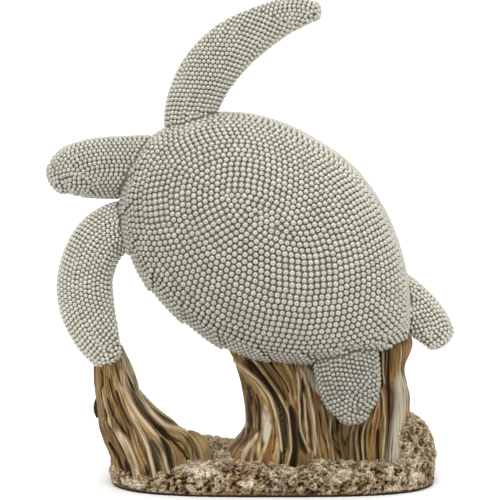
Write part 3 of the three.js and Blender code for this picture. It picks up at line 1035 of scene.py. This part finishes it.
def driftwoodPaint():
    material, tree, shader = newMaterial("painted driftwood", {
        "Roughness": 0.55, "Specular IOR Level": 0.08})
    flow = attributeNode(tree, "flow", "Vector")
    where = objectCoordinates(tree)
    streaks = noiseNode(tree, flow, 950, 6, 0.68)
    wash = noiseNode(tree, where, 46, 3, 0.55)
    colour = ramp(tree, wash, [(0.30, (0.10, 0.052, 0.017)), (0.45, (0.17, 0.096, 0.034)),
                               (0.58, (0.245, 0.152, 0.060)), (0.72, (0.33, 0.222, 0.100))])
    grain = ramp(tree, streaks, [(0.38, (0.12, 0.075, 0.04)), (0.45, (0.62, 0.54, 0.45)),
                                 (0.54, (1.02, 0.98, 0.9)), (0.64, (1.6, 1.55, 1.4))])
    worn = ramp(tree, noiseNode(tree, flow, 600, 5, 0.7), [
        (0.4, (0.15, 0.15, 0.15)), (0.5, (0.85, 0.85, 0.85)), (0.58, (1, 1, 1))])
    layers = [
        ("tan", (0.39, 0.28, 0.145), 0.9), ("ochre", (0.35, 0.21, 0.070), 0.75),
        ("gold", (0.52, 0.40, 0.19), 0.8), ("orange", (0.42, 0.17, 0.06), 0.8),
    ]
    for name, paint, amount in layers:
        share = mixColours(tree, "MULTIPLY", 1.0, attributeNode(tree, name, "Color"), (amount,) * 3)
        colour = mixColours(tree, "MIX", share, colour, paint)
    colour = mixColours(tree, "MULTIPLY", 0.95, colour, grain)
    # dark: partly dark paint, partly painted shade in the grooves
    colour = mixColours(tree, "MIX", attributeNode(tree, "dark"), colour, (0.018, 0.009, 0.003))
    # cream: partly cream paint, partly painted highlight on the crests
    for name, paint in (("cream", (0.54, 0.43, 0.280)), ("silver", (0.52, 0.47, 0.370))):
        share = mixColours(tree, "MULTIPLY", 1.0, attributeNode(tree, name, "Color"), worn)
        colour = mixColours(tree, "MIX", share, colour, paint)
    tree.links.new(colour, shader.inputs["Base Color"])
    bumpFrom(tree, shader, streaks, 0.8, 0.0008)
    return material


def driftwood(label, parts, material):
    verts, faces, flows = [], [], []
    values = {paint: [] for paint in paints}
    for partVerts, partFaces, partValues, partFlow in parts:
        faces += [tuple(i + len(verts) for i in face) for face in partFaces]
        verts += [tuple(p) for p in partVerts]
        flows.append(partFlow)
        for paint in paints:
            values[paint].append(partValues[paint])
    mesh = meshFrom(label, verts, faces)
    for paint in paints:
        storeValues(mesh, paint, np.concatenate(values[paint]))
    storeVectors(mesh, "flow", np.vstack(flows))
    smoothShaded(mesh)
    mesh.materials.append(material)
    obj = addObject(label, mesh)
    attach(obj, "root")
    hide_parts("base")
    print(label, len(mesh.polygons), "faces")


wood = driftwoodPaint()
driftwood("left-support", [supportSurface("left")] + [rootSurface(*root) for root in roots], wood)
driftwood("middle-support", [supportSurface("middle")], wood)
driftwood("right-support", [supportSurface("right")], wood)


# the rough ground
groundForm = {
    "middle": 0.0026, "halfLength": 0.088, "halfDepth": 0.049, "height": 0.015, "squareness": 3.1,
    "mound": {"centre": (0.069, 0.004, 0.013), "radii": (0.0225, 0.028, 0.024)},
    "lipHeight": 0.0012, "voxel": 0.00068, "roughness": 0.0016,
    # broad dips and swells: x, y, radius, height
    "swells": [
        (-0.062, -0.040, 0.021, -0.0042), (-0.045, 0.034, 0.018, 0.002), (-0.016, 0.047, 0.024, -0.003),
        (0.024, -0.036, 0.007, 0.003), (0.0135, -0.036, 0.0055, -0.0022), (-0.03, -0.036, 0.008, 0.0014),
        (0.05, -0.038, 0.009, 0.0012),
    ],
    # pale patches along the front, partly pale crust and partly painted highlight on lumps and the top front
    # edge: x, z, half length, half height
    "patches": [
        (-0.072, 0.0045, 0.009, 0.0025), (-0.034, 0.0125, 0.012, 0.0022), (0.0405, 0.0115, 0.0055, 0.0028),
        (0.078, 0.008, 0.006, 0.003), (-0.012, 0.0075, 0.006, 0.002),
    ],
}


def groundPaint():
    material, tree, shader = newMaterial("pitted ground", {"Roughness": 0.65, "Specular IOR Level": 0.08})
    height = attributeNode(tree, "crest")
    where = objectCoordinates(tree)
    wash = ramp(tree, noiseNode(tree, where, 38, 3), [(0.3, (0.74, 0.60, 0.46)), (0.5, (0.95, 0.9, 0.82)),
                                                     (0.7, (1.08, 1.08, 1.04))])
    # the pits painted dark and the raised parts light: partly the ground's own paint, partly painted shade in
    # the pits and painted highlight on the crests
    relief = ramp(tree, height, [(0.08, (0.04, 0.024, 0.011)), (0.28, (0.17, 0.124, 0.075)),
                                 (0.5, (0.33, 0.272, 0.195)), (0.85, (0.54, 0.475, 0.37))])
    cracks = ramp(tree, noiseNode(tree, where, 300, 4, 0.62), [
        (0.44, (1.1, 1.1, 1.08)), (0.47, (0.8, 0.76, 0.7)), (0.495, (0.12, 0.085, 0.05)),
        (0.52, (0.85, 0.82, 0.77)), (0.56, (1.12, 1.12, 1.1))])
    grit = ramp(tree, noiseNode(tree, where, 800, 4, 0.7), [
        (0.38, (0.13, 0.09, 0.055)), (0.47, (0.9, 0.88, 0.85)), (0.62, (1.3, 1.28, 1.22))])
    colour = mixColours(tree, "MULTIPLY", 1.0, relief, wash)
    pale = ramp(tree, noiseNode(tree, where, 85, 3, 0.6), [(0.55, (0, 0, 0)), (0.68, (0.5, 0.5, 0.5))])
    pale = mixColours(tree, "LIGHTEN", 1.0, pale, attributeNode(tree, "pale", "Color"))
    colour = mixColours(tree, "MIX", pale, colour, (0.56, 0.50, 0.40))
    colour = mixColours(tree, "MULTIPLY", 0.8, colour, cracks)
    colour = mixColours(tree, "MULTIPLY", 0.9, colour, grit)
    band = ramp(tree, noiseNode(tree, where, 90, 4), [
        (0.35, (0.08, 0.055, 0.022)), (0.6, (0.21, 0.155, 0.075))])
    colour = mixColours(tree, "MIX", attributeNode(tree, "rim"), colour, band)
    colour = mixColours(tree, "MIX", attributeNode(tree, "foot"), colour, (0.02, 0.013, 0.007))
    tree.links.new(colour, shader.inputs["Base Color"])
    bumpFrom(tree, shader, noiseNode(tree, where, 900, 3), 0.5, 0.0005)
    return material


def slabRings(form):
    h = form["height"]
    levels = [(0, 0.0006), (0.003, 0), (h * 0.6, 0.0006), (h * 0.95, 0.005), (h, 0.016), (h, 0.034)]
    turn = np.linspace(0, 2 * math.pi, 240, endpoint=False)
    power = 2 / form["squareness"]
    cx = np.sign(np.cos(turn)) * np.abs(np.cos(turn)) ** power
    cy = np.sign(np.sin(turn)) * np.abs(np.sin(turn)) ** power
    rings = [np.stack([form["middle"] + (form["halfLength"] - inset) * cx,
                       (form["halfDepth"] - inset) * cy, np.full(240, z)], axis=1) for z, inset in levels]
    return closedRings(np.array(rings))


def moundSurface(form):
    bend = np.linspace(-0.49, 0.49, 40) * math.pi
    turn = np.linspace(0, 2 * math.pi, 80, endpoint=False)
    radii, centre = np.array(form["radii"]), np.array(form["centre"])
    rings = [np.stack([np.cos(b) * np.cos(turn), np.cos(b) * np.sin(turn), np.full(80, math.sin(b))], axis=1)
             * radii + centre for b in bend]
    rings = np.array(rings)
    rings[..., 2] = np.maximum(rings[..., 2], 0.001)
    return closedRings(rings)


def ground():
    form = groundForm
    parts = [slabRings(form), moundSurface(form["mound"])]
    verts, faces = [], []
    for v, f in parts:
        faces += [tuple(i + len(verts) for i in face) for face in f]
        verts += [tuple(p) for p in v]
    obj = addObject("rough-ground", meshFrom("rough-ground", verts, faces))
    remesh = obj.modifiers.new("one body", "REMESH")
    remesh.mode = "VOXEL"
    remesh.voxel_size = form["voxel"]
    applied(obj)
    mesh = obj.data
    places, normals = vertsOf(mesh), normalsOf(mesh)
    lumps = noiseAt(places, 110)
    knolls = noiseAt(places, 260, 5.0)
    gravel = noiseAt(places, 560, 3.0)
    grit = noiseAt(places, 1150, 7.0)
    for x, y, reach, lift in form["swells"]:
        bell = np.exp(-((places[:, 0] - x) ** 2 + (places[:, 1] - y) ** 2) / reach ** 2)
        places[:, 2] += lift * bell * np.minimum(1, places[:, 2] / form["height"])
    free = smoothStep(0.0015, form["lipHeight"] + 0.0015, places[:, 2])
    pits = smoothStep(0.12, 0.5, noiseAt(places, 640, 11.0))
    rise = 0.8 * lumps + 1.15 * knolls + 0.4 * gravel + 0.25 * grit - 0.8 * pits
    places = places + normals * (form["roughness"] * rise * free)[:, None]
    places[:, 2] = np.maximum(places[:, 2], 0)
    mesh.vertices.foreach_set("co", places.ravel())
    # crest follows the relief, low in the pits and high on the raised parts; the colour drawn from it is
    # partly painted shade and painted highlight
    crest = 0.5 + 0.5 * (1.1 * knolls + 0.8 * gravel + 0.7 * grit + 0.4 * lumps) - 0.6 * pits
    storeValues(mesh, "crest", np.clip(crest, 0, 1))
    side = smoothStep(0.35, 0.75, np.hypot(normals[:, 0], normals[:, 1]))
    wavy = places[:, 2] + 0.0026 * noiseAt(places, 70, 2.0)
    storeValues(mesh, "rim", smoothStep(0.0022, 0.0012, wavy) * side)
    # pale: the listed patches and the raised knolls painted lighter, partly pale crust and partly painted
    # highlight
    pale = np.zeros(len(places))
    for x, z, reach, height in form["patches"]:
        spot = np.exp(-((places[:, 0] - x) / reach) ** 2 - ((places[:, 2] - z) / height) ** 2)
        pale = np.maximum(pale, spot * (places[:, 1] < -0.02))
    storeValues(mesh, "pale", smoothStep(0.35, 0.7, pale + 0.25 * knolls))
    storeValues(mesh, "foot", smoothStep(0.0016, 0.0009, places[:, 2] + 0.0004 * gravel))
    tool = bmesh.new()
    tool.from_mesh(mesh)
    under = [f for f in tool.faces if f.normal.z < -0.98 and f.calc_center_median().z < 0.0004]
    bmesh.ops.dissolve_faces(tool, faces=under)
    tool.to_mesh(mesh)
    tool.free()
    smoothShaded(mesh)
    mesh.materials.append(groundPaint())
    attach(obj, "root")
    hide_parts("base")
    print("ground", len(mesh.polygons), "faces")


ground()
bpy.data.objects.remove(template)


# floor, light and camera
def softLight(name, place, target, size, power, colour=(1, 1, 1)):
    data = bpy.data.lights.new(name, "AREA")
    data.shape = "DISK"
    data.size = size
    data.energy = power
    data.color = colour
    obj = bpy.data.objects.new(name, data)
    obj.location = place
    obj.rotation_euler = (Vector(target) - Vector(place)).to_track_quat("-Z", "Y").to_euler()
    scene.collection.objects.link(obj)


def backdrop():
    # a floor that curves up into a wall behind the piece
    profile = [(-2.5, 0), (1.6, 0)]
    profile += [(1.6 + 0.9 * math.sin(a), 0.9 - 0.9 * math.cos(a)) for a in np.linspace(0.1, math.pi / 2, 14)]
    profile.append((2.5, 4.0))
    verts = [(x, y, z) for y, z in profile for x in (-4, 4)]
    faces = [(2 * i, 2 * i + 1, 2 * i + 3, 2 * i + 2) for i in range(len(profile) - 1)]
    mesh = meshFrom("backdrop", verts, faces)
    material, _, _ = newMaterial("pale backdrop", {"Base Color": (0.9, 0.9, 0.895, 1), "Roughness": 0.9})
    mesh.materials.append(material)
    smoothShaded(mesh)
    addObject("backdrop", mesh)


def shadeCard():
    # a dark round card behind the camera, which the glossy beads mirror as a dark dot
    turns = np.linspace(0, 2 * math.pi, 48, endpoint=False)
    verts = [(0.7 * math.cos(a) - 0.01, -1.25, 0.26 + 0.7 * math.sin(a)) for a in turns]
    mesh = meshFrom("shade card", verts, [tuple(range(48))])
    material, _, _ = newMaterial("dark card", {"Base Color": (0.02, 0.02, 0.02, 1), "Roughness": 0.9})
    mesh.materials.append(material)
    card = addObject("shade card", mesh)
    card.visible_camera = False


def studio():
    backdrop()
    shadeCard()
    world = bpy.data.worlds.new("studio")
    world.use_nodes = True
    world.node_tree.nodes["Background"].inputs["Color"].default_value = (1, 1, 1, 1)
    world.node_tree.nodes["Background"].inputs["Strength"].default_value = 0.9
    scene.world = world
    middle = (0, 0, 0.13)
    for number, (turn, power) in enumerate([(8, 1.7), (50, 2.8), (90, 4.2), (130, 3.1), (172, 2.1)]):
        around, off = math.radians(turn), math.radians(50)
        place = (1.25 * math.sin(off) * math.cos(around), -1.25 * math.cos(off),
                 0.23 + 1.25 * math.sin(off) * math.sin(around))
        softLight("softbox %d" % (number + 1), place, middle, 0.95, power)
    softLight("background light", (0, 0.9, 2.4), (0, 2.6, 0.6), 1.6, 30)


def aimCamera():
    elevation, distance = math.radians(6), 1.0
    target = Vector((-0.0097, 0, 0.1246))
    data = bpy.data.cameras.new("camera")
    data.sensor_width = 36
    data.lens = 133.3
    camera = bpy.data.objects.new("camera", data)
    forward = Vector((0, math.cos(elevation), -math.sin(elevation)))
    camera.location = target - forward * distance
    camera.rotation_euler = forward.to_track_quat("-Z", "Y").to_euler()
    scene.collection.objects.link(camera)
    scene.camera = camera


studio()
aimCamera()
scene.view_settings.view_transform = "Standard"
print("studio ready")
